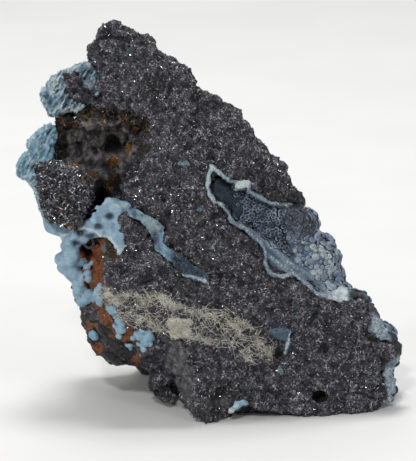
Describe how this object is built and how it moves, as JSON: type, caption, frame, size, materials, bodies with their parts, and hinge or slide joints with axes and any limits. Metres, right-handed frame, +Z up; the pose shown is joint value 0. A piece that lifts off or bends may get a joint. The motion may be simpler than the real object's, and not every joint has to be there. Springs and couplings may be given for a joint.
{
  "type": "mineral specimen",
  "caption": "Free-standing shattuckite specimen: a leaning dark felted host rock with pale blue botryoidal crusts, a blue-lined pocket, an open cavity and a cream needle mat.",
  "frame": {"origin": "middle of the specimen's bounding box, at the ground it stands on", "axes": "+Z up; the broken front face with the cream mat looks along -Y; +X to the right as seen from the front"},
  "size_m": [0.0782, 0.047, 0.0781],
  "materials": {
    "host_rock": "satin",
    "shattuckite": "matte",
    "cream_needles": "matte"
  },
  "bodies": {
    "root": {"matrix": "host_rock", "right_botryoidal_crust": "shattuckite", "left_shattuckite_crust": "shattuckite", "upper_shattuckite": "shattuckite", "vug_lining": "shattuckite", "base_shattuckite": "shattuckite", "blue_knob_1": "shattuckite", "blue_knob_2": "shattuckite", "blue_knob_3": "shattuckite", "blue_knob_4": "shattuckite", "blue_knob_5": "shattuckite", "needle_mat": "cream_needles"}
  },
  "joints": []
}
